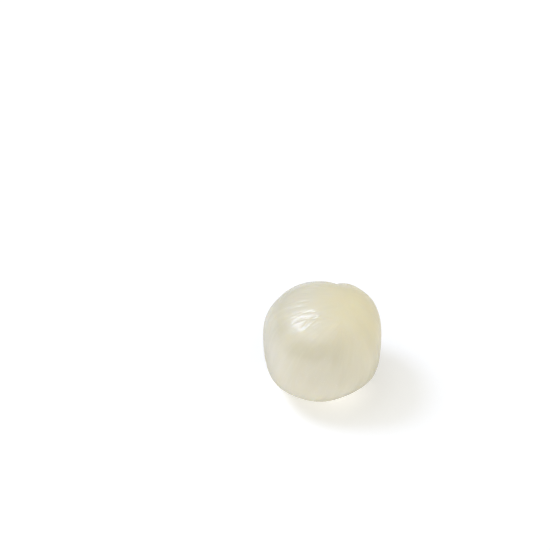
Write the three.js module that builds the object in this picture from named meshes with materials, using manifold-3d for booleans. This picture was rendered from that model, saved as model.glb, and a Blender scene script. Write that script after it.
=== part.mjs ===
// A satin hard candy: one ball of pulled sugar, rolled and pressed while it was warm. It is nearly
// round, with broad shallow flats, and it ends in a short pinched seam at the top and another
// underneath, where it was parted from the rope. +Z is up, the shown side faces -Y, and the origin
// is under its middle, on the small flat it rests on.
import * as THREE from "three";
import { ParametricGeometry } from "three/addons/geometries/ParametricGeometry.js";
import { mergeVertices } from "three/addons/utils/BufferGeometryUtils.js";
import Module from "manifold-3d";

// Driving dimensions, in millimetres and degrees.
const ballRadius = 11; // the ball before it was pressed
const edgeCrispness = 10; // 4 melts each flat into the ball, 30 leaves a hard edge round it
const restDepth = 0.14; // how much the flat it rests on takes off the lowest point

// Each flat faces a bearing, turned from +X and risen from level, at its reach from the middle.
const pressedFlats = [
  { turn: -3, rise: -3, reach: 10.35 }, // right side
  { turn: 88, rise: 49, reach: 10.55 }, // back shoulder
  { turn: 142, rise: 32, reach: 10.95 }, // back left shoulder
  { turn: -168, rise: 5, reach: 9.65 }, // left side
  { turn: -118, rise: -47, reach: 10.9 }, // front, low on the left
  { turn: -56, rise: -45, reach: 10.4 }, // front, low on the right
  { turn: -90, rise: 12, reach: 10.7 }, // front
  { turn: -150, rise: 68, reach: 10.55 }, // upper left shoulder
  { turn: 75, rise: -20, reach: 10.6 }, // back
  { turn: 55, rise: -50, reach: 10.55 }, // back, low on the right
  { turn: 138, rise: -40, reach: 10.6 }, // back, low on the left
  { turn: 180, rise: -89, reach: 9.85 }, // underside
];

// The rope was parted along a line at each end: the upper one leans to the right of straight up.
const pinch = { turn: -8, lean: 19, seamTurn: -90, seamHalf: 28 };

// The upper seam was folded over, which left a crease. It is deep at the back and little more than
// a dent at the front, where it bends to the right.
const crease = {
  depth: 0.39,
  frontShare: 0.2, // how much of the depth is left at the front
  shallowFrom: -30, // degrees along the seam, minus is towards the back
  shallowFade: 5,
  leftWidth: 7,
  rightWidth: 5.5,
  bend: 0.035, // degrees to the right for each squared degree towards the front
  frontEnd: 24,
  backEnd: -62,
  fade: 4.5,
  lipHeight: 0.12,
  lipOffset: 12,
  lipWidth: 7,
};

// Shallow pleats run out from both seams, where the warm sugar was gathered in.
const pleats = { count: 13, depth: 0.025, wander: 1.4, start: 0.08, end: 0.62 };

// Columns go round the candy, rows go from the lower seam to the upper one, closer at the seams.
const columns = 80;
const rows = 40;
const rowCrowding = 1.3;

const candyColour = 0xdad5bf;

const toRadians = THREE.MathUtils.degToRad;

// The unit vector of a bearing.
function bearing(turn, rise) {
  const level = Math.cos(toRadians(rise));
  return new THREE.Vector3(
    level * Math.cos(toRadians(turn)),
    level * Math.sin(toRadians(turn)),
    Math.sin(toRadians(rise)),
  );
}

// The pinch axis, the way that its seam runs towards the front, and the way across it.
const pinchAxis = bearing(pinch.turn, 90 - pinch.lean);
const alongSeam = bearing(pinch.seamTurn, 0).projectOnPlane(pinchAxis).normalize();
const acrossSeam = new THREE.Vector3().crossVectors(pinchAxis, alongSeam);

const flatNormals = pressedFlats.map(({ turn, rise }) => bearing(turn, rise));

// Distance from the middle to the pressed ball: a soft meeting of the sphere with every flat.
function pressedReach(direction) {
  let sum = ballRadius ** -edgeCrispness;
  pressedFlats.forEach(({ reach }, i) => {
    const facing = Math.max(0, direction.dot(flatNormals[i]));
    sum += (facing / reach) ** edgeCrispness;
  });
  return sum ** (-1 / edgeCrispness);
}

// 0 well below the threshold, 1 well above it, with a smooth turn of the given width.
function smoothStep(value, threshold, width) {
  return 1 / (1 + Math.exp((threshold - value) / width));
}

function bell(offset, width) {
  return Math.exp(-((offset / width) ** 2));
}

// Height of the crease and of the lip on its right, at degrees along and across the upper seam.
function creaseHeight(along, across) {
  const offset = across - crease.bend * Math.max(0, along) ** 2;
  const width = offset < 0 ? crease.leftWidth : crease.rightWidth;
  const extent =
    smoothStep(along, crease.backEnd, crease.fade) *
    smoothStep(-along, -crease.frontEnd, crease.fade);
  const backShare = smoothStep(-along, -crease.shallowFrom, crease.shallowFade);
  const share = crease.frontShare + (1 - crease.frontShare) * backShare;
  const lip = crease.lipHeight * bell(offset - crease.lipOffset, crease.lipWidth);
  return extent * share * (lip - crease.depth * bell(offset, width));
}

// Height of the pleats: waves round the seam that swell and fade between the seam and the equator.
function pleatHeight(around, away) {
  const span = (away - pleats.start) / (pleats.end - pleats.start);
  const swell = Math.sin(Math.PI * THREE.MathUtils.clamp(span, 0, 1)) ** 2;
  const phase = pleats.count * around + pleats.wander * Math.sin(3 * around + 1);
  return -pleats.depth * swell * (0.5 + 0.5 * Math.cos(phase)) ** 2;
}

// One point of the surface. Away is 0 on a seam and 1 halfway between the two: the rings are
// slits at the seams and open into circles, so that the columns fan out as the sugar's fibres do.
// The columns stand half a step aside, so that each slit's tip lies between two of them.
function candyPoint(u, v, target) {
  const around = 2 * Math.PI * (u + 0.5 / columns);
  const upper = v > 0.5;
  const away = (upper ? 2 - 2 * v : 2 * v) ** rowCrowding;
  const along = (90 * away + pinch.seamHalf * (1 - away) ** 2) * Math.cos(around);
  const across = 90 * away * Math.sin(around);
  const polar = toRadians(Math.hypot(along, across));
  const facing = Math.atan2(across, along);
  target
    .copy(pinchAxis)
    .multiplyScalar((upper ? 1 : -1) * Math.cos(polar))
    .addScaledVector(alongSeam, Math.sin(polar) * Math.cos(facing))
    .addScaledVector(acrossSeam, Math.sin(polar) * Math.sin(facing));
  const relief = pleatHeight(around, away) + (upper ? creaseHeight(along, across) : 0);
  target.multiplyScalar(pressedReach(target) + relief);
}

const wasm = await Module();
wasm.setup();

// A closed three.js geometry as a solid that can be cut, without the triangles that collapse to a
// line once the points that coincide are merged.
function solidOf(geometry) {
  geometry.deleteAttribute("normal");
  geometry.deleteAttribute("uv");
  const merged = mergeVertices(geometry, 1e-4);
  const corners = merged.index.array;
  const kept = [];
  for (let i = 0; i < corners.length; i += 3) {
    const [a, b, c] = corners.slice(i, i + 3);
    if (a !== b && b !== c && c !== a) kept.push(a, b, c);
  }
  return new wasm.Manifold(
    new wasm.Mesh({
      numProp: 3,
      vertProperties: merged.attributes.position.array,
      triVerts: new Uint32Array(kept),
    }),
  );
}

// The cut solid as a three.js geometry again.
function geometryOf(solid) {
  const { vertProperties, triVerts } = solid.getMesh();
  const geometry = new THREE.BufferGeometry();
  geometry.setAttribute("position", new THREE.BufferAttribute(vertProperties, 3));
  geometry.setIndex(new THREE.BufferAttribute(triVerts, 1));
  return geometry;
}

// The candy with its resting flat cut, moved so that the flat is on z = 0 under the box's middle.
function candyGeometry() {
  const ball = new ParametricGeometry(candyPoint, columns, rows);
  ball.computeBoundingBox();
  const slab = 4 * ballRadius;
  const floor = new THREE.BoxGeometry(slab, slab, slab);
  floor.translate(0, 0, ball.boundingBox.min.z + restDepth - slab / 2);

  const geometry = geometryOf(solidOf(ball).subtract(solidOf(floor)));
  geometry.computeBoundingBox();
  const { min, max } = geometry.boundingBox;
  geometry.translate(-(min.x + max.x) / 2, -(min.y + max.y) / 2, -min.z);
  geometry.computeVertexNormals();
  return geometry;
}

const candy = new THREE.Mesh(
  candyGeometry(),
  new THREE.MeshStandardMaterial({ color: candyColour, roughness: 0.42, metalness: 0 }),
);
candy.name = "hard_candy";

const group = new THREE.Group();
group.add(candy);

export default group;
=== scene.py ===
import math
import bpy
import numpy as np
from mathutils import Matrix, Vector


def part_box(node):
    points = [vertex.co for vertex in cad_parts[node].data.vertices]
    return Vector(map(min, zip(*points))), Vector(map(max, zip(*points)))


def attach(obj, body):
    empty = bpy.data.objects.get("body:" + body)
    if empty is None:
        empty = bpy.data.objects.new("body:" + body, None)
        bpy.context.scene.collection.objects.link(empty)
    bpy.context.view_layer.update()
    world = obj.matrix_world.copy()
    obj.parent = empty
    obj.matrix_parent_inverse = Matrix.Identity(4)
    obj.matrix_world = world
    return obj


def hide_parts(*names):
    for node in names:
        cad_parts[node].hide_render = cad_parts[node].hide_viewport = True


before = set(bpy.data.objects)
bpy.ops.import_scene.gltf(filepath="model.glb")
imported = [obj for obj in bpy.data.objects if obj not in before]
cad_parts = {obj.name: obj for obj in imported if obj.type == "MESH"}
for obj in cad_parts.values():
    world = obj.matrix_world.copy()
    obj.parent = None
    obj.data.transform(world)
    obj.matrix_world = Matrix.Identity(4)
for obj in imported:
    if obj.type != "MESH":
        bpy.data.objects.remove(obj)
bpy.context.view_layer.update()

# A satin hard candy on a white table. It stands in for the frame's plain solid: the same pressed
# ball, pinched seams, crease and pleats, and on them the sugar's ribs, folds, bubbles, and clouds
# that are mostly painted light and shade.

mm = 0.001

# Lengths are in metres. Angles, and the crease's and the folds' places, are in degrees.
candy = {
    "piece": "satin_candy",
    "node": "hard_candy",
    "slot": "satin_sugar",
    "columns": 640,           # round the candy
    "rows": (58, 90),         # from seam to seam, below and above the equator
    "rowCrowding": 1.3,       # over 1 draws the rows closer together at both seams
    "ballRadius": 11 * mm,
    "edgeCrispness": 10,      # 4 melts each flat into the ball, 30 leaves a hard edge round it
    "restDepth": 0.14 * mm,   # what the flat it rests on takes off its lowest point
    # what each pressed flat faces, as turn from +X and rise from level, and its reach
    "flats": [
        (-3, -3, 10.35 * mm),
        (88, 49, 10.55 * mm),
        (142, 32, 10.95 * mm),
        (-168, 5, 9.65 * mm),
        (-118, -47, 10.9 * mm),
        (-56, -45, 10.4 * mm),
        (-90, 12, 10.7 * mm),
        (-150, 68, 10.55 * mm),
        (75, -20, 10.6 * mm),
        (55, -50, 10.55 * mm),
        (138, -40, 10.6 * mm),
        (180, -89, 9.85 * mm),
    ],
    # the upper seam's middle leans from straight up towards its turn, and the seam itself runs
    # along seamTurn, this far to both sides
    "pinch": {"turn": -8, "lean": 19, "seamTurn": -90, "seamHalf": 28},
    # the upper seam was folded over, which left a crease
    "crease": {
        "depth": 0.39 * mm,
        "frontShare": 0.2,    # how much of the depth is left at the front
        "shallowFrom": -30,   # minus is towards the back
        "shallowFade": 5,
        "leftWidth": 7,
        "rightWidth": 5.5,
        "bend": 0.035,        # to the right, for each squared degree towards the front
        "frontEnd": 24,
        "backEnd": -62,
        "fade": 4.5,
        "lipHeight": 0.12 * mm,
        "lipOffset": 12,
        "lipWidth": 7,
    },
    # start and end are shares of the way from a seam to the equator
    "pleats": {"count": 13, "depth": 0.025 * mm, "start": 0.08, "end": 0.62},
    "pleatWander": {"waves": 3, "begin": 1, "strength": 1.4},
    # folds that the warm sugar was left with when it was rolled, on the upper half. Each runs from
    # one place to another, as degrees to the front and to the right of the upper seam's middle.
    "folds": [
        {"from": (25.0, -47.7), "to": (22.6, -29.5), "width": 0.30 * mm, "height": -0.074 * mm},
        {"from": (34.4, -38.7), "to": (22.2, -27.6), "width": 0.26 * mm, "height": -0.062 * mm},
        {"from": (15.7, -42.7), "to": (17.3, -22.3), "width": 0.30 * mm, "height": -0.034 * mm},
        {"from": (24.6, -33.3), "to": (23.4, -20.8), "width": 0.34 * mm, "height": -0.060 * mm},
        {"from": (37.3, -35.9), "to": (19.7, -19.8), "width": 0.22 * mm, "height": 0.050 * mm},
        {"from": (24.3, -23.6), "to": (23.9, -8.4), "width": 0.24 * mm, "height": -0.050 * mm},
        {"from": (7.4, -46.1), "to": (8.8, -32.2), "width": 0.24 * mm, "height": -0.026 * mm},
        {"from": (0.6, -45.2), "to": (3.1, -31.4), "width": 0.22 * mm, "height": -0.028 * mm},
        {"from": (-5.1, -44.2), "to": (-1.7, -30.5), "width": 0.22 * mm, "height": -0.030 * mm},
        {"from": (-11.8, -42.2), "to": (-7.1, -28.6), "width": 0.24 * mm, "height": -0.032 * mm},
        {"from": (-20.9, -29.9), "to": (-14.1, -16.9), "width": 0.28 * mm, "height": 0.040 * mm},
        {"from": (13.7, -71.8), "to": (18.0, -51.2), "width": 0.34 * mm, "height": -0.026 * mm},
        {"from": (-17.6, -36.2), "to": (-13.2, -21.1), "width": 0.24 * mm, "height": -0.030 * mm},
        {"from": (-23.7, -32.1), "to": (-19.2, -18.9), "width": 0.24 * mm, "height": -0.028 * mm},
        {"from": (3.0, 5.9), "to": (11.6, 5.5), "width": 0.22 * mm, "height": 0.034 * mm},
        {"from": (-3.4, 9.4), "to": (2.5, 10.9), "width": 0.20 * mm, "height": -0.028 * mm},
        {"from": (76, -26), "to": (46, -17), "width": 0.36 * mm, "height": 0.020 * mm},
        {"from": (74, -3), "to": (45, -1), "width": 0.36 * mm, "height": 0.016 * mm},
        {"from": (58, 34), "to": (36, 24), "width": 0.34 * mm, "height": -0.018 * mm},
    ],
    "foldFullness": 0.8,      # under 1 keeps a fold high over more of its length
    "ribs": {
        "seed": 11,
        "broad": {"waves": 26, "counts": (14, 40), "slide": 5.0, "height": 0.0080 * mm},
        "fine": {"waves": 40, "counts": (55, 120), "slide": 9.0, "height": 0.0024 * mm},
        "settle": 0.10,       # share of the way to the equator where the ribs have risen
    },
    # short ridges and grooves, each a stretch of one fibre
    "shortRibs": {
        "count": 260,
        "levels": (-0.75, 0.75),       # where their middles lie: -1 and 1 are the seams
        "width": (0.22 * mm, 0.60 * mm),
        "length": (1.5 * mm, 5.0 * mm),
        "steepness": 0.022,            # height over width
        "drift": 0.3,                  # how far they turn aside from straight up
    },
    "dents": {"seed": 5, "count": 46, "width": (9, 22), "height": 0.020 * mm},
    "fibreMeet": 0.05,        # share of the way from a seam where the fibres of its sides join
    # clearer, yellower sugar beside the upper seam, with waves round the candy in its edge
    "clearPatch": {
        "middle": (10, 52),
        "radius": 41,
        "fade": 12,
        "ragged": 1.8,
        "edge": {"waves": 14, "counts": (3, 16), "slide": 6.0},
    },
    # cloudy places, where milk is over 0, and clear ones, which are mostly painted light and
    # shade. On the shown side they paint a darker band across the middle, a paler lower left, a
    # darker belly and lower right, a darker left shoulder, a paler glow under the highlight and a
    # painted highlight streak at the top edge; the others make the sugar paler or darker in
    # places. Each faces a turn and a rise, and is so many degrees tall and wide.
    "cloudsAndPaintedLight": [
        # painted shade: a darker band across the middle
        {"middle": (-106, 31), "size": (7.5, 22), "milkAndPaintedLight": -0.38},
        # painted light: a paler lower left and lower middle
        {"middle": (-113, -4), "size": (16, 26), "milkAndPaintedLight": 0.24},
        {"middle": (-87, -10), "size": (10, 18), "milkAndPaintedLight": 0.14},
        # painted shade: a darker left shoulder and left side
        {"middle": (176, 38), "size": (13, 10), "milkAndPaintedLight": -0.36},
        {"middle": (-151, 37), "size": (9, 8), "milkAndPaintedLight": -0.20},
        # painted light: a paler glow under the highlight
        {"middle": (-112, 47), "size": (5, 12), "milkAndPaintedLight": 0.26},
        {"middle": (-90, 39), "size": (9, 14), "milkAndPaintedLight": -0.24},
        {"middle": (-52, 43), "size": (8, 8), "milkAndPaintedLight": -0.16},
        {"middle": (-17, 26), "size": (20, 10), "milkAndPaintedLight": 0.20},
        # painted shade: a darker lower right
        {"middle": (-42, -34), "size": (16, 24), "milkAndPaintedLight": -0.42},
        {"middle": (-81, 69), "size": (8, 12), "milkAndPaintedLight": -0.18},
        {"middle": (40, 8), "size": (14, 24), "milkAndPaintedLight": -0.30},
        {"middle": (28, -30), "size": (12, 20), "milkAndPaintedLight": 0.30},
        {"middle": (75, -8), "size": (16, 22), "milkAndPaintedLight": 0.28},
        {"middle": (100, 22), "size": (12, 26), "milkAndPaintedLight": -0.34},
        {"middle": (128, -6), "size": (18, 16), "milkAndPaintedLight": -0.22},
        {"middle": (150, 18), "size": (12, 20), "milkAndPaintedLight": 0.30},
        {"middle": (-175, -22), "size": (14, 22), "milkAndPaintedLight": -0.30},
        {"middle": (95, 62), "size": (12, 16), "milkAndPaintedLight": 0.26},
        # painted shade: a darker belly
        {"middle": (-90, -42), "size": (14, 50), "milkAndPaintedLight": -0.40},
        {"middle": (159, 49), "size": (10, 22), "milkAndPaintedLight": -0.26},
        # painted shade: a darker lower right
        {"middle": (-41, -8), "size": (15, 16), "milkAndPaintedLight": -0.38},
        # painted sheen: a paler haze beside the highlight
        {"middle": (-150, 12), "size": (17, 15), "milkAndPaintedLight": 0.24},
        # painted highlight: a pale streak at the top edge
        {"middle": (122, 73), "size": (4, 9), "milkAndPaintedLight": 0.34},
    ],
    # milk everywhere, how it drifts round the candy, and how waves fray the clouds' edges
    "mottle": {
        "base": 0.29,
        "drift": {"waves": 18, "counts": (2, 9), "slide": 9.0},
        "driftStrength": 0.08,
        "ragged": {"waves": 24, "counts": (8, 34), "slide": 7.0},
        "raggedness": 0.16,
    },
    "sugar": {
        # from the clearest sugar to the milkiest
        "tones": [(0.640, 0.605, 0.472, 1), (0.728, 0.693, 0.573, 1), (0.782, 0.748, 0.652, 1)],
        "clear": (0.760, 0.695, 0.470, 1),
        "subsurface": 1.0,
        "depth": (4.5 * mm, 4 * mm, 2.7 * mm),   # how deep red, green and blue go
        "ior": 1.54,
        # milky streaks, and finer threads where their noise is high
        "streaks": {"scale": 900, "stretch": 0.12, "detail": 4},
        "streakContrast": 0.25,
        "threads": {"scale": 2600, "stretch": 0.10, "detail": 2},
        "threadFrom": (0.5, 0.75),
        "threadContrast": 0.10,
        # the streaks also change the gloss a little, and raise the surface
        "roughness": (0.21, 0.265),
        "roughnessFrom": (0.3, 0.7),
        "bump": 0.007 * mm,
    },
    # tiny air bubbles, which come in crowds
    "bubbles": {
        "scale": 1150,        # cells to a metre
        "reach": 0.16,        # the share of a cell that a bubble fills
        "crowdScale": 160,
        "crowdFrom": (0.42, 0.62),   # the noise where a crowd begins and where it is full
        "strength": 0.7,      # how plain a bubble is in a full crowd
        "colour": (0.83, 0.81, 0.72, 1),
        "depth": 0.012 * mm,
    },
}


# A bearing is the unit vector turned from +X about +Z, then risen from level.
def bearing(turn, rise):
    turn, rise = math.radians(turn), math.radians(rise)
    level = math.cos(rise)
    return np.array([level * math.cos(turn), level * math.sin(turn), math.sin(rise)])


# The angle between each direction and a middle is the arc cosine of their product, in degrees.
def degreesFrom(direction, middle):
    return np.degrees(np.arccos(np.clip(direction @ middle, -1, 1)))


# A bell is 1 at offset 0 and e to the minus the squared ratio of offset to width elsewhere.
def bell(offset, width):
    return np.exp(-(offset / width) ** 2)


# A soft step goes from 0 to 1 round the threshold, as 1 over 1 plus e to the scaled shortfall.
def softStep(value, threshold, width):
    return 1 / (1 + np.exp((threshold - value) / width))


# The pinch axis, the way its seam runs to the front, and the way across it, all unit vectors.
def pinchAxes():
    pinch = candy["pinch"]
    axis = bearing(pinch["turn"], 90 - pinch["lean"])
    level = bearing(pinch["seamTurn"], 0)
    along = level - (level @ axis) * axis
    along /= np.linalg.norm(along)
    return axis, along, np.cross(axis, along)


# The pressed ball's reach is a high-power mean of the ball's radius and each flat's plane:
# the sum of (facing over reach) to the power k, plus radius to the minus k, to the minus 1 over k.
def pressedReach(direction):
    k = candy["edgeCrispness"]
    total = np.full(direction.shape[:-1], candy["ballRadius"] ** -k)
    for turn, rise, reach in candy["flats"]:
        facing = np.clip(direction @ bearing(turn, rise), 0, None)
        total += (facing / reach) ** k
    return total ** (-1 / k)


# The crease is a bell-shaped valley with a lower lip on its right, along a line that bends to
# the right by the square of its distance towards the front. A soft step leaves a share of it
# at the front, and it fades out softly at both ends.
def creaseHeight(along, across):
    crease = candy["crease"]
    offset = across - crease["bend"] * np.clip(along, 0, None) ** 2
    width = np.where(offset < 0, crease["leftWidth"], crease["rightWidth"])
    extent = softStep(along, crease["backEnd"], crease["fade"])
    extent = extent * softStep(-along, -crease["frontEnd"], crease["fade"])
    backShare = softStep(-along, -crease["shallowFrom"], crease["shallowFade"])
    share = crease["frontShare"] + (1 - crease["frontShare"]) * backShare
    lip = crease["lipHeight"] * bell(offset - crease["lipOffset"], crease["lipWidth"])
    return extent * share * (lip - crease["depth"] * bell(offset, width))


# Pleats are valleys at a count of waves round the candy, which wander a little as a sine. They
# swell and fade as a squared sine between their start and their end.
def pleatHeight(around, away):
    pleats, wander = candy["pleats"], candy["pleatWander"]
    span = np.clip((away - pleats["start"]) / (pleats["end"] - pleats["start"]), 0, 1)
    swell = np.sin(np.pi * span) ** 2
    aside = wander["strength"] * np.sin(wander["waves"] * around + wander["begin"])
    phase = pleats["count"] * around + aside
    return -pleats["depth"] * swell * (0.5 + 0.5 * np.cos(phase)) ** 2


# The folds are added up. Each is a bell across its line, and along its line it swells and fades
# as a sine to the power of the fullness.
def foldHeight(along, across):
    total = np.zeros(along.shape)
    for fold in candy["folds"]:
        start, end = np.array(fold["from"], float), np.array(fold["to"], float)
        length = np.linalg.norm(end - start)
        forward = (end - start) / length
        onward = ((along - start[0]) * forward[0] + (across - start[1]) * forward[1]) / length
        aside = (along - start[0]) * forward[1] - (across - start[1]) * forward[0]
        swell = np.where((onward > 0) & (onward < 1), np.sin(np.pi * np.clip(onward, 0, 1)), 0)
        width = math.degrees(fold["width"] / candy["ballRadius"])
        total += fold["height"] * swell ** candy["foldFullness"] * bell(aside, width)
    return total


# Fibre waves are a sum of cosines round the candy, over the root of half their number. Each slides
# by its own amount from the lower seam to the upper one, so that the ridges drift, merge and fade.
def fibreWaves(around, climb, form, draw):
    counts = draw.integers(*form["counts"], size=form["waves"])
    slides = draw.normal(0, form["slide"], size=form["waves"])
    starts = draw.uniform(0, 2 * np.pi, size=form["waves"])
    total = np.zeros(around.shape)
    for count, slide, start in zip(counts, slides, starts):
        total += np.cos(count * around + slide * climb / 2 + start)
    return total / math.sqrt(form["waves"] / 2)


# The short ribs are added up. Each is a bell round the candy times a bell from seam to seam, of
# its own width, length and height, up or down. Its width is a true length wherever it lies.
def shortRibHeight(around, climb, draw):
    short, radius = candy["shortRibs"], candy["ballRadius"]
    total = np.zeros(around.shape)
    for _ in range(short["count"]):
        middle = draw.uniform(-np.pi, np.pi)
        level = draw.uniform(*short["levels"])
        trueWidth = draw.uniform(*short["width"])
        width = trueWidth / (radius * math.cos(level * math.pi / 2))
        length = draw.uniform(*short["length"]) / (radius * math.pi / 2)
        height = draw.normal(0, short["steepness"]) * trueWidth
        drift = draw.normal(0, short["drift"]) * (climb - level)
        aside = (around - middle + drift + np.pi) % (2 * np.pi) - np.pi
        total += height * bell(aside, width) * bell(climb - level, length / 2)
    return total


# The ribs are the broad and the fine waves and the short ribs, added up and risen from nothing at
# the seams, as 1 minus a bell.
def ribHeight(around, climb, away, draw):
    ribs = candy["ribs"]
    broad = fibreWaves(around, climb, ribs["broad"], draw)
    fine = fibreWaves(around, climb, ribs["fine"], draw)
    waves = ribs["broad"]["height"] * broad + ribs["fine"]["height"] * fine
    return (1 - bell(away, ribs["settle"])) * (waves + shortRibHeight(around, climb, draw))


# The hand-rolled unevenness is a sum of bells over the ball, each round its own bearing, wide in
# degrees and raised or sunk by its own height.
def dentHeight(direction):
    dents = candy["dents"]
    draw = np.random.default_rng(dents["seed"])
    total = np.zeros(direction.shape[:-1])
    for _ in range(dents["count"]):
        middle = draw.normal(size=3)
        middle /= np.linalg.norm(middle)
        height = draw.normal(0, dents["height"])
        total += height * bell(degreesFrom(direction, middle), draw.uniform(*dents["width"]))
    return total


# How clear the sugar is: near 1 in the middle of the clear patch, with a soft step down at its
# radius, which fibre waves move a little.
def clearness(direction, around, climb, draw):
    patch = candy["clearPatch"]
    angle = degreesFrom(direction, bearing(*patch["middle"]))
    angle = angle + patch["ragged"] * fibreWaves(around, climb, patch["edge"], draw)
    return softStep(-angle, -patch["radius"], patch["fade"])


# Milkiness, with the painted light and shade of the clouds in it, is a base, plus drifting waves
# round the candy, plus a bell for each cloud: of the distance from its middle up and sideways,
# over its size, with an edge that finer waves fray.
def milkAndPaintedLightAt(direction, around, climb, draw):
    mottle = candy["mottle"]
    drift = fibreWaves(around, climb, mottle["drift"], draw)
    total = mottle["base"] + mottle["driftStrength"] * drift
    fray = 1 + mottle["raggedness"] * fibreWaves(around, climb, mottle["ragged"], draw)
    for paintedLightCloud in candy["cloudsAndPaintedLight"]:
        middle, (tall, wide) = bearing(*paintedLightCloud["middle"]), np.radians(paintedLightCloud["size"])
        aside = np.cross([0, 0, 1], middle)
        aside /= np.linalg.norm(aside)
        spread = np.hypot(direction @ np.cross(middle, aside) / tall, direction @ aside / wide)
        total = total + np.where(direction @ middle > 0, paintedLightCloud["milkAndPaintedLight"] * bell(spread * fray, 1), 0)
    return np.clip(total, 0, 1)


# A place among the fibres is one on a cylinder as wide as the ball: its circle goes round the
# candy, and closes to a line at the seams, where both sides meet. Its height goes up the candy.
def fibrePlace(around, climb, away):
    radius = candy["ballRadius"]
    return np.stack([
        radius * np.cos(around),
        radius * np.sin(around) * (1 - bell(away, candy["fibreMeet"])),
        radius * np.pi / 2 * climb,
    ], axis=-1)


# The candy as a grid. Around goes round it, climb goes from -1 on the lower seam to 1 on the
# upper one, and away is 0 on a seam and 1 on the equator, 90 degrees from it. Rings are slits at
# the seams and open into circles.
def candyGrid():
    columns, (rowsBelow, rowsAbove) = candy["columns"], candy["rows"]
    around = 2 * np.pi * (np.arange(columns) + 0.5) / columns
    below = np.arange(rowsBelow) / rowsBelow
    above = 1 - np.arange(rowsAbove + 1) / rowsAbove
    away = np.concatenate([below, above]) ** candy["rowCrowding"]
    upper = np.arange(len(away)) >= rowsBelow
    around, away = np.meshgrid(around, away)
    upper = np.broadcast_to(upper[:, None], away.shape)
    climb = np.where(upper, 1 - away, away - 1)
    seamHalf = candy["pinch"]["seamHalf"]
    along = (90 * away + seamHalf * (1 - away) ** 2) * np.cos(around)
    across = 90 * away * np.sin(around)
    polar, facing = np.radians(np.hypot(along, across)), np.arctan2(across, along)
    axis, alongSeam, acrossSeam = pinchAxes()
    direction = (
        (np.where(upper, 1, -1) * np.cos(polar))[..., None] * axis
        + (np.sin(polar) * np.cos(facing))[..., None] * alongSeam
        + (np.sin(polar) * np.sin(facing))[..., None] * acrossSeam
    )
    return around, climb, away, upper, along, across, direction


# Faces join each ring to the next, and the slit rows are folded so that both sides share points.
def candyFaces():
    columns, rows = candy["columns"], sum(candy["rows"])
    index = np.arange(columns * (rows + 1)).reshape(rows + 1, columns)
    folded = np.minimum(np.arange(columns), columns - 1 - np.arange(columns))
    index[0] = folded
    index[rows] = rows * columns + folded
    used, packed = np.unique(index, return_inverse=True)
    index = packed.reshape(index.shape)
    onward = np.roll(index, -1, axis=1)
    quads = np.stack([index[:-1], onward[:-1], onward[1:], index[1:]], axis=-1).reshape(-1, 4)
    whole = (quads[:, 0] != quads[:, 1]) & (quads[:, 2] != quads[:, 3])
    tips = [list(dict.fromkeys(quad)) for quad in quads[~whole].tolist()]
    return used, quads[whole].tolist() + tips


# A named layer of the mesh holds one number or one vector for each of its points.
def addLayer(mesh, name, values):
    kind, field = ("FLOAT_VECTOR", "vector") if values.ndim == 2 else ("FLOAT", "value")
    layer = mesh.attributes.new(name, kind, "POINT")
    layer.data.foreach_set(field, values.astype(np.float32).ravel())


# A mesh, a lamp or a camera as a new object in the scene.
def addObject(name, data):
    piece = bpy.data.objects.new(name, data)
    bpy.context.scene.collection.objects.link(piece)
    return piece


# The candy's surface: direction times reach and relief, flattened where it would go below the
# level it rests on, then moved so that the flat is on z = 0 under the middle of the frame's box.
def makeCandy():
    around, climb, away, upper, along, across, direction = candyGrid()
    draw = np.random.default_rng(candy["ribs"]["seed"])
    form = pleatHeight(around, away) + np.where(upper, creaseHeight(along, across), 0)
    plain = direction * (pressedReach(direction) + form)[..., None]
    relief = ribHeight(around, climb, away, draw) + dentHeight(direction)
    relief += np.where(upper, foldHeight(along, across), 0)
    points = plain + direction * relief[..., None]

    low, high = plain.reshape(-1, 3).min(axis=0), plain.reshape(-1, 3).max(axis=0)
    level = low[2] + candy["restDepth"]
    points[..., 2] = np.maximum(points[..., 2], level)
    boxLow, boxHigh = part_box(candy["node"])
    shift = (np.array(boxLow) + np.array(boxHigh) - low - high) / 2
    shift[2] = -level
    points += shift

    used, faces = candyFaces()
    mesh = bpy.data.meshes.new(candy["piece"])
    mesh.from_pydata(points.reshape(-1, 3)[used].tolist(), [], faces)
    mesh.polygons.foreach_set("use_smooth", np.ones(len(mesh.polygons), bool))
    addLayer(mesh, "fibre", fibrePlace(around, climb, away).reshape(-1, 3)[used])
    # the milk layer holds real milkiness together with the clouds' painted light and shade
    addLayer(mesh, "clear", clearness(direction, around, climb, draw).ravel()[used])
    addLayer(mesh, "milkAndPaintedLight", milkAndPaintedLightAt(direction, around, climb, draw).ravel()[used])
    mesh.update()
    piece = addObject(candy["piece"], mesh)
    print("candy made,", sum(len(face) - 2 for face in faces), "triangles")
    return piece, Vector(shift)


# Each input of a node is linked where it is given another node's output, and set otherwise.
def fillInputs(tree, node, inputs):
    for name, value in inputs.items():
        if isinstance(value, bpy.types.NodeSocket):
            tree.links.new(value, node.inputs[name])
        else:
            node.inputs[name].default_value = value


# A new node, with its own settings before its inputs.
def addNode(tree, kind, inputs, **settings):
    node = tree.nodes.new("ShaderNode" + kind)
    for name, value in settings.items():
        setattr(node, name, value)
    fillInputs(tree, node, inputs)
    return node


# The sum, the product, or the product and then the sum of a few numbers, in their own order.
def addMath(tree, operation, *numbers):
    return addNode(tree, "Math", dict(enumerate(numbers)), operation=operation).outputs["Value"]


# A value carried from its old range to a new one, evenly or eased at both ends, and held there.
def addMap(tree, value, old, new, eased=False):
    inputs = {
        "Value": value,
        "From Min": old[0],
        "From Max": old[1],
        "To Min": new[0],
        "To Max": new[1],
    }
    way = "SMOOTHSTEP" if eased else "LINEAR"
    return addNode(tree, "MapRange", inputs, interpolation_type=way).outputs["Result"]


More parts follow.
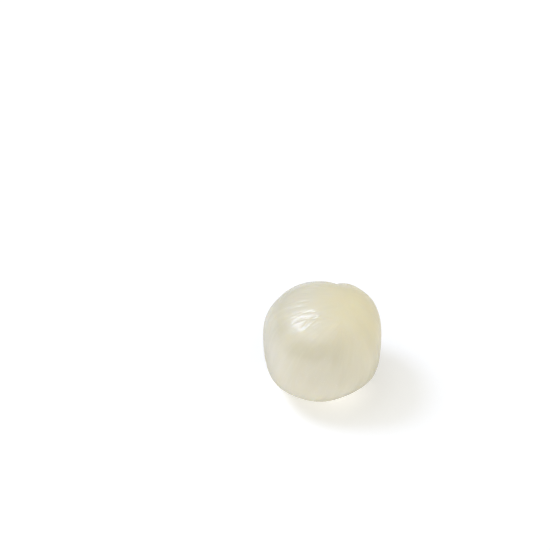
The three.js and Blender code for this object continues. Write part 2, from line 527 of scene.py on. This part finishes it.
# The first colour gives way to the second as the share goes from 0 to 1.
def addBlend(tree, share, first, second):
    inputs = {"Factor": share, "A": first, "B": second}
    return addNode(tree, "Mix", inputs, data_type="RGBA").outputs["Result"]


# Noise that is drawn out along the fibres, because it reads a place among them with its height
# shortened.
def addGrain(tree, fibre, grain):
    drawn = addNode(tree, "Mapping", {"Vector": fibre, "Scale": (1, 1, grain["stretch"])})
    inputs = {
        "Vector": drawn.outputs["Vector"],
        "Scale": grain["scale"],
        "Detail": grain["detail"],
    }
    return addNode(tree, "TexNoise", inputs).outputs["Fac"]


# A bubble shows where the candy's surface cuts the middle of a cell: it is 1 there and falls
# smoothly to 0 at its reach, times how crowded the bubbles are.
def addBubbles(tree):
    bubbles = candy["bubbles"]
    place = addNode(tree, "TexCoord", {}).outputs["Object"]
    cells = addNode(tree, "TexVoronoi", {"Vector": place, "Scale": bubbles["scale"]})
    dots = addMap(tree, cells.outputs["Distance"], (0, bubbles["reach"]), (1, 0), eased=True)
    crowds = addNode(tree, "TexNoise", {"Vector": place, "Scale": bubbles["crowdScale"]})
    crowded = addMap(tree, crowds.outputs["Fac"], bubbles["crowdFrom"], (0, bubbles["strength"]))
    return addMath(tree, "MULTIPLY", dots, crowded)


# The sugar's tone follows its milk, which carries the clouds' painted light and shade, plus the
# streaks plus the threads, and gives way to the clear colour in the clear patch. Bubbles are
# paler, and pits.
def makeSugar():
    sugar, bubbles = candy["sugar"], candy["bubbles"]
    material = bpy.data.materials.new("satinSugar")
    material.use_nodes = True
    tree = material.node_tree
    fibre = addNode(tree, "Attribute", {}, attribute_name="fibre").outputs["Vector"]
    milkAndPaintedLight = addNode(tree, "Attribute", {}, attribute_name="milkAndPaintedLight").outputs["Fac"]
    clear = addNode(tree, "Attribute", {}, attribute_name="clear").outputs["Fac"]

    streaks = addGrain(tree, fibre, sugar["streaks"])
    threads = addGrain(tree, fibre, sugar["threads"])
    threads = addMap(tree, threads, sugar["threadFrom"], (0, sugar["threadContrast"]))
    streaky = addMath(tree, "MULTIPLY_ADD", streaks, sugar["streakContrast"], milkAndPaintedLight)
    toned = addNode(tree, "ValToRGB", {"Fac": addMath(tree, "ADD", streaky, threads)})
    toned.color_ramp.elements.new(0.5)
    for stop, tone in zip(toned.color_ramp.elements, sugar["tones"]):
        stop.color = tone
    colour = addBlend(tree, clear, toned.outputs["Color"], sugar["clear"])
    dotted = addBubbles(tree)

    raised = addNode(tree, "Bump", {"Height": streaks, "Distance": sugar["bump"]})
    pits = {"Height": dotted, "Distance": bubbles["depth"], "Normal": raised.outputs["Normal"]}
    pitted = addNode(tree, "Bump", pits, invert=True)
    fillInputs(tree, tree.nodes["Principled BSDF"], {
        "Base Color": addBlend(tree, dotted, colour, bubbles["colour"]),
        "Roughness": addMap(tree, streaks, sugar["roughnessFrom"], sugar["roughness"]),
        "Normal": pitted.outputs["Normal"],
        "Subsurface Weight": sugar["subsurface"],
        "Subsurface Radius": [side / mm for side in sugar["depth"]],
        "Subsurface Scale": mm,
        "IOR": sugar["ior"],
    })
    print("satin sugar made")
    return material


table = {
    "half": 0.8,
    "colour": (0.80, 0.80, 0.80, 1),
    "roughness": 0.9,
    "inGloss": (0.75, 0.73, 0.68, 1),   # what the candy's gloss mirrors of it
    # its light from beneath is the sum of these. Each goes from near at its middle to far at its
    # reach. The small ones are painted pools of light round the candy's foot, which lift the shade
    # under it.
    "glowColour": (1, 0.99, 0.97, 1),
    "glows": [
        {"middle": (0, 0, 0), "reach": 300 * mm, "near": 0.245, "far": 0.32},
        {"middle": (2 * mm, -2 * mm, 0), "reach": 8.5 * mm, "near": 0.29, "far": 0},
        {"middle": (-7 * mm, -2 * mm, 0), "reach": 9 * mm, "near": 0.10, "far": 0},
        {"middle": (-9 * mm, -7 * mm, 0), "reach": 16 * mm, "near": 0.05, "far": 0},
    ],
}


# A glow's strength goes smoothly from near to far with the distance from its middle.
def addGlow(tree, place, glow):
    away = addNode(tree, "VectorMath", {0: place, 1: glow["middle"]}, operation="DISTANCE")
    span, strengths = (0, glow["reach"]), (glow["near"], glow["far"])
    return addMap(tree, away.outputs["Value"], span, strengths, eased=True)


# The table is one level square of white acrylic that is lit from beneath as well as from above,
# with painted pools of light round the candy's foot.
def makeTable():
    half = table["half"]
    corners = [(-half, -half, 0), (half, -half, 0), (half, half, 0), (-half, half, 0)]
    mesh = bpy.data.meshes.new("table")
    mesh.from_pydata(corners, [], [(0, 1, 2, 3)])
    material = bpy.data.materials.new("tableWhite")
    material.use_nodes = True
    tree = material.node_tree
    place = addNode(tree, "TexCoord", {}).outputs["Object"]
    strength = 0
    for glow in table["glows"]:
        strength = addMath(tree, "ADD", strength, addGlow(tree, place, glow))
    white = tree.nodes["Principled BSDF"]
    fillInputs(tree, white, {
        "Base Color": table["colour"],
        "Roughness": table["roughness"],
        "Specular IOR Level": 0,
        "Emission Color": table["glowColour"],
        "Emission Strength": strength,
    })
    mirrored = addNode(tree, "BsdfDiffuse", {"Color": table["inGloss"]})
    path = addNode(tree, "LightPath", {})
    seen = addNode(tree, "MixShader", {
        "Fac": path.outputs["Is Glossy Ray"],
        1: white.outputs["BSDF"],
        2: mirrored.outputs["BSDF"],
    })
    fillInputs(tree, tree.nodes["Material Output"], {"Surface": seen.outputs["Shader"]})
    mesh.materials.append(material)
    piece = addObject("table", mesh)


studio = {
    "keyFrom": (-0.545, 0.151, 0.825),
    "keyDistance": 0.6,
    "keySize": 0.24,
    "keyPower": 1.25,
    "keyColour": (0.69, 0.77, 1.0),
    "surround": (0.645, 0.640, 0.608),
    # softer lamps and darker sides of the studio. Edge holds the cosines where each begins and
    # where it is full.
    "lobes": [
        {"from": (-0.10, -0.46, 0.88), "edge": (0.60, 0.97), "light": (0.35, 0.35, 0.35)},
        {"from": (0.70, -0.68, 0.20), "edge": (0.60, 0.95), "light": (0.15, 0.15, 0.15)},
        {"from": (0.97, 0.10, 0.20), "edge": (0.50, 0.95), "light": (0.16, 0.16, 0.17)},
        {"from": (-0.50, 0.06, 0.87), "edge": (0.78, 0.99), "light": (0.42, 0.46, 0.56)},
        {"from": (-0.75, 0.62, 0.20), "edge": (0.50, 0.95), "light": (-0.26, -0.25, -0.22)},
        {"from": (0.10, 0.96, 0.24), "edge": (0.60, 0.95), "light": (-0.18, -0.18, -0.18)},
        {"from": (-0.97, 0.0, 0.20), "edge": (0.50, 0.95), "light": (-0.13, -0.15, -0.20)},
    ],
    # what the camera sees behind the table
    "backdrop": {"Color": (1, 1, 1, 1), "Strength": 1.05},
}


# A lamp or a camera looks from its place back along a direction.
def aimBack(piece, place, direction):
    piece.location = place
    piece.rotation_mode = "QUATERNION"
    piece.rotation_quaternion = direction.to_track_quat("Z", "Y")


# A lobe rises smoothly from 0 to its light as the direction nears the lobe's middle, and is added
# to the light so far.
def addLobe(tree, direction, light, lobe):
    middle = Vector(lobe["from"]).normalized()
    facing = addNode(tree, "VectorMath", {0: direction, 1: middle}, operation="DOT_PRODUCT")
    share = addMap(tree, facing.outputs["Value"], lobe["edge"], (0, 1), eased=True)
    inputs = {0: lobe["light"], 1: share, 2: light}
    return addNode(tree, "VectorMath", inputs, operation="MULTIPLY_ADD").outputs["Vector"]


# One round key lamp, and the studio all round as the world's light.
def makeLights(target):
    key = bpy.data.lights.new("key", "AREA")
    key.shape = "DISK"
    key.size = studio["keySize"]
    key.energy = studio["keyPower"]
    key.color = studio["keyColour"]
    toward = Vector(studio["keyFrom"]).normalized()
    aimBack(addObject("key", key), target + toward * studio["keyDistance"], toward)

    world = bpy.data.worlds.new("studio")
    bpy.context.scene.world = world
    world.use_nodes = True
    tree = world.node_tree
    direction = addNode(tree, "TexCoord", {}).outputs["Generated"]
    light = studio["surround"]
    for lobe in studio["lobes"]:
        light = addLobe(tree, direction, light, lobe)
    lit = tree.nodes["Background"]
    fillInputs(tree, lit, {"Color": light})
    backdrop = addNode(tree, "Background", studio["backdrop"])
    path = addNode(tree, "LightPath", {})
    seen = addNode(tree, "MixShader", {
        "Fac": path.outputs["Is Camera Ray"],
        1: lit.outputs["Background"],
        2: backdrop.outputs["Background"],
    })
    fillInputs(tree, tree.nodes["World Output"], {"Surface": seen.outputs["Shader"]})
    bpy.context.scene.view_settings.view_transform = "Standard"


view = {
    "elevation": 41,
    "lens": 100,
    "sensor": 36,
    "clip": (0.01, 10),
    "width": 92.07 * mm,      # what the frame spans at the candy
    "right": 7.80 * mm,       # how far the candy lies right of the frame's middle, and below it
    "below": 11.03 * mm,
}


# The camera looks down on the candy at its elevation, from as far away as its width asks.
def makeCamera(target):
    rise = math.radians(view["elevation"])
    back = Vector((0, -math.cos(rise), math.sin(rise)))
    up = Vector((0, math.sin(rise), math.cos(rise)))
    aim = target - Vector((view["right"], 0, 0)) + up * view["below"]
    data = bpy.data.cameras.new("camera")
    data.lens = view["lens"]
    data.sensor_width = view["sensor"]
    data.clip_start, data.clip_end = view["clip"]
    piece = addObject("camera", data)
    aimBack(piece, aim + back * view["width"] * view["lens"] / view["sensor"], back)
    bpy.context.scene.camera = piece


candyPiece, candyMiddle = makeCandy()
candyPiece.data.materials.append(makeSugar())
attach(candyPiece, "root")
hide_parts(candy["node"])
makeTable()
makeLights(candyMiddle)
makeCamera(candyMiddle)
print("table, lights and camera made")
